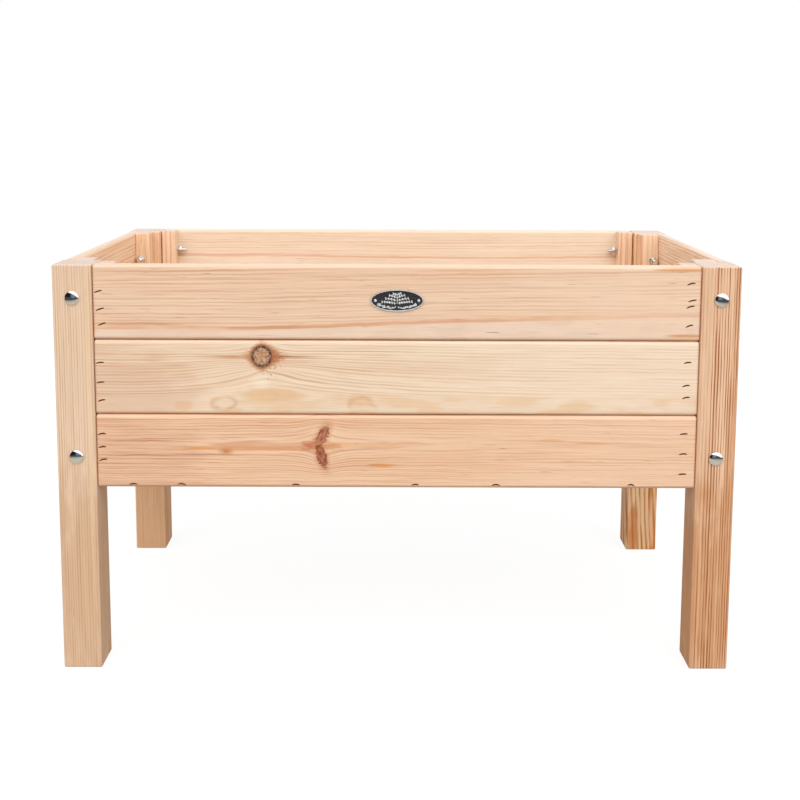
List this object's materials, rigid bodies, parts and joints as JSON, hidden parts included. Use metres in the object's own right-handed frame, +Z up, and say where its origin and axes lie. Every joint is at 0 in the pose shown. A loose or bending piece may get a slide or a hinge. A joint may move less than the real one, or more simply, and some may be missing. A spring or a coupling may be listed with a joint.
{
  "type": "raised planter on legs",
  "caption": "Rectangular softwood planting box on square legs, with boarded walls, corner battens, a slatted floor and domed coach bolts at the corners.",
  "frame": {"origin": "on the ground, under the middle of the planter", "axes": "+Z up, +X along the long side to the right as seen from the front, +Y from the front wall, which has the badge, to the back wall"},
  "size_m": [0.7928, 0.4178, 0.482],
  "materials": {
    "leg_wood": "planed softwood, untreated, fine straight grain",
    "board_wood": "planed softwood, untreated, knots and flame grain",
    "batten_wood": "planed softwood, untreated",
    "floor_wood": "planed softwood, untreated",
    "zinc_steel": "bright zinc plated",
    "pewter": "dark antiqued relief with a brighter rim"
  },
  "bodies": {
    "root": {"leg_front_left": "leg_wood", "leg_front_right": "leg_wood", "leg_back_left": "leg_wood", "leg_back_right": "leg_wood", "front_board_bottom": "board_wood", "front_board_middle": "board_wood", "front_board_top": "board_wood", "back_board_bottom": "board_wood", "back_board_middle": "board_wood", "back_board_top": "board_wood", "left_board_bottom": "board_wood", "left_board_middle": "board_wood", "left_board_top": "board_wood", "right_board_bottom": "board_wood", "right_board_middle": "board_wood", "right_board_top": "board_wood", "front_wall_batten_left": "batten_wood", "front_wall_batten_right": "batten_wood", "back_wall_batten_left": "batten_wood", "back_wall_batten_right": "batten_wood", "left_wall_batten_front": "batten_wood", "right_wall_batten_front": "batten_wood", "left_wall_batten_back": "batten_wood", "right_wall_batten_back": "batten_wood", "front_floor_bearer": "floor_wood", "back_floor_bearer": "floor_wood", "left_floor_bearer": "floor_wood", "right_floor_bearer": "floor_wood", "floor_board_1": "floor_wood", "floor_board_2": "floor_wood", "floor_board_3": "floor_wood", "floor_board_4": "floor_wood", "floor_board_5": "floor_wood", "floor_board_6": "floor_wood", "floor_board_7": "floor_wood", "floor_board_8": "floor_wood", "coach_bolt_front_left_face_upper": "zinc_steel", "coach_bolt_front_left_face_lower": "zinc_steel", "coach_bolt_front_left_side_upper": "zinc_steel", "coach_bolt_front_left_side_lower": "zinc_steel", "coach_bolt_front_right_face_upper": "zinc_steel", "coach_bolt_front_right_face_lower": "zinc_steel", "coach_bolt_front_right_side_upper": "zinc_steel", "coach_bolt_front_right_side_lower": "zinc_steel", "coach_bolt_back_left_face_upper": "zinc_steel", "coach_bolt_back_left_face_lower": "zinc_steel", "coach_bolt_back_left_side_upper": "zinc_steel", "coach_bolt_back_left_side_lower": "zinc_steel", "coach_bolt_back_right_face_upper": "zinc_steel", "coach_bolt_back_right_face_lower": "zinc_steel", "coach_bolt_back_right_side_upper": "zinc_steel", "coach_bolt_back_right_side_lower": "zinc_steel", "badge_plate": "pewter", "badge_pin_left": "pewter", "badge_pin_right": "pewter"}
  },
  "joints": []
}
